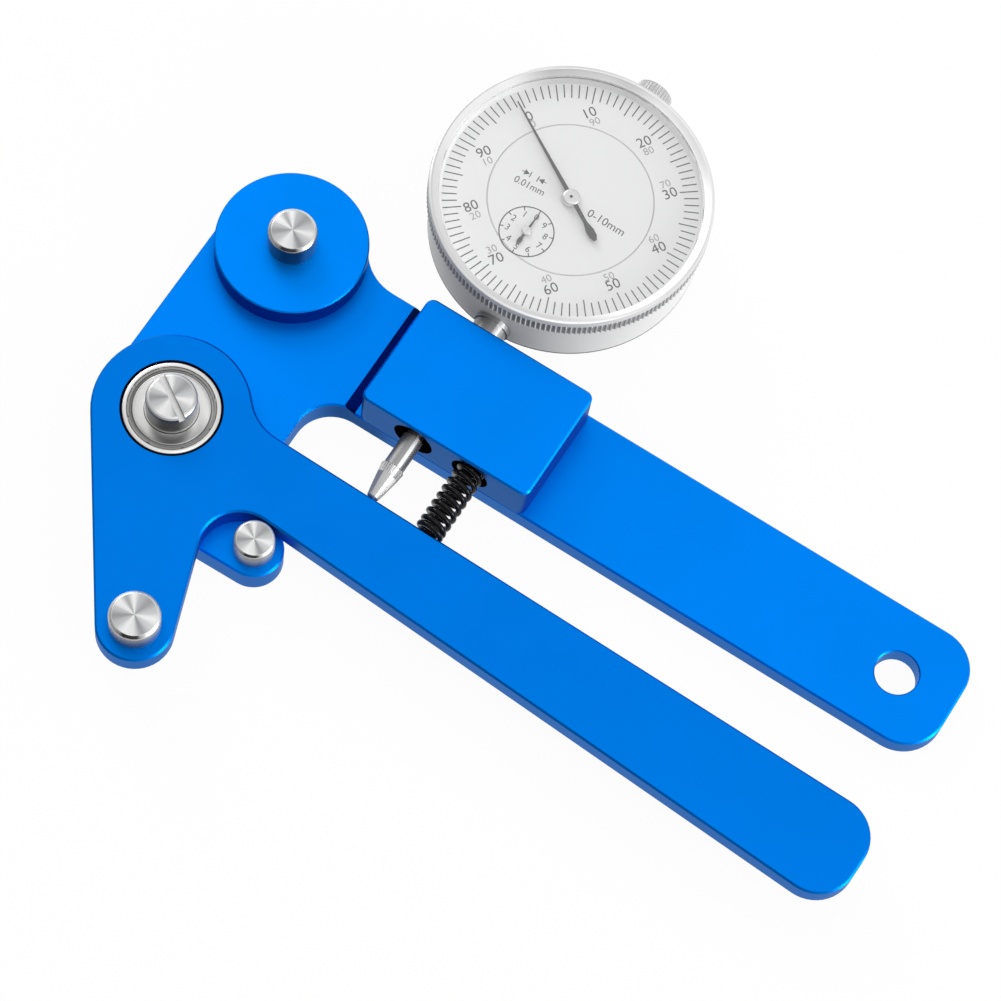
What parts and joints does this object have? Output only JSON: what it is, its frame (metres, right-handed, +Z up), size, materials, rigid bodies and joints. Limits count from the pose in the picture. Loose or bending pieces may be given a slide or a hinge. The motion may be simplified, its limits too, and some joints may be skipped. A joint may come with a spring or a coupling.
{
  "type": "spoke tension meter",
  "caption": "Hand-squeezed bicycle spoke tension meter: blue fixed handle and sprung lever on a ball bearing, spoke posts, and a dial gauge read by the lever.",
  "frame": {"origin": "the lever pivot axis in the plane of the back face, which the tool lies on", "axes": "+X along the fixed handle from head to end, +Y towards the dial, +Z up out of the dial face"},
  "size_m": [0.1989, 0.1841, 0.0251],
  "materials": {
    "fixed_blue": "satin blue anodised",
    "arm_blue": "satin blue anodised",
    "turned_steel": "turned",
    "bearing_steel": "ground",
    "black_steel": "blackened",
    "satin_aluminium": "satin",
    "movement_brass": "satin",
    "dial_face": "matte printed",
    "crystal": "clear",
    "pointer_black": "matte black"
  },
  "bodies": {
    "base": {"base_plate": "fixed_blue", "raised_disc": "fixed_blue", "upper_spoke_post": "turned_steel", "stop_post": "turned_steel", "pivot_stud": "turned_steel", "pivot_spacer": "turned_steel", "bearing_inner_ring": "bearing_steel", "gauge_block": "fixed_blue", "block_screws": "black_steel", "stem_clamp_screw": "black_steel", "main_spring": "black_steel", "gauge_case": "satin_aluminium", "case_back": "satin_aluminium", "case_screws": "turned_steel", "gauge_stem": "turned_steel", "upper_bushing": "turned_steel", "movement_plate": "movement_brass", "movement_bridge": "movement_brass", "dial_base": "dial_face", "inner_dial": "dial_face", "hairspring": "turned_steel", "guide_rail": "turned_steel"},
    "arm": {"moving_arm": "arm_blue", "lower_spoke_post": "turned_steel", "bearing_outer_ring": "bearing_steel", "bearing_shields": "bearing_steel"},
    "cage": {"bearing_balls": "bearing_steel", "bearing_cage": "bearing_steel"},
    "spindle": {"spindle": "turned_steel", "contact_point": "turned_steel", "lifting_knob": "satin_aluminium", "guide_pin": "turned_steel"},
    "wheel": {"rack_pinion": "movement_brass", "reduction_wheel": "movement_brass", "small_pointer": "pointer_black"},
    "pointer": {"centre_pinion": "movement_brass", "large_pointer": "pointer_black"},
    "take_up": {"take_up_wheel": "movement_brass"},
    "bezel": {"bezel": "satin_aluminium", "dial_ring": "dial_face", "crystal": "crystal"}
  },
  "joints": [
    {"name": "arm_pivot", "type": "hinge", "parent": "base", "child": "arm", "pos_m": [0, 0, 0.0102], "axis": [0, 0, 1], "range_deg": [0, 11.5], "stiffness_Nm_per_rad": 9, "springref_deg": -4.01, "deforming": ["main_spring"]},
    {"name": "cage_turn", "type": "hinge", "parent": "base", "child": "cage", "pos_m": [0, 0, 0.0095], "axis": [0, 0, 1], "range_deg": [0, 8]},
    {"name": "spindle_slide", "type": "slide", "parent": "base", "child": "spindle", "axis": [0, 1, 0], "range_m": [0, 0.01]},
    {"name": "wheel_turn", "type": "hinge", "parent": "base", "child": "wheel", "pos_m": [0.04405, 0.07677, 0.0148], "axis": [0, 0, 1], "range_deg": [-5, 365]},
    {"name": "pointer_turn", "type": "hinge", "parent": "base", "child": "pointer", "pos_m": [0.0481, 0.0892, 0.023], "axis": [0, 0, 1], "range_deg": [-3650, 60]},
    {"name": "take_up_turn", "type": "hinge", "parent": "base", "child": "take_up", "pos_m": [0.05215, 0.10163, 0.016], "axis": [0, 0, 1], "range_deg": [-5, 365]},
    {"name": "bezel_turn", "type": "hinge", "parent": "base", "child": "bezel", "pos_m": [0.0481, 0.0892, 0.0215], "axis": [0, 0, 1], "continuous": true}
  ],
  "couplings": [
    {"joint": "cage_turn", "follows": "arm_pivot", "ratio": 0.6281},
    {"joint": "spindle_slide", "follows": "arm_pivot", "m_per_rad": 0.0495},
    {"joint": "wheel_turn", "follows": "arm_pivot", "ratio": 31.102},
    {"joint": "pointer_turn", "follows": "arm_pivot", "ratio": -311.02},
    {"joint": "take_up_turn", "follows": "arm_pivot", "ratio": 31.102}
  ]
}
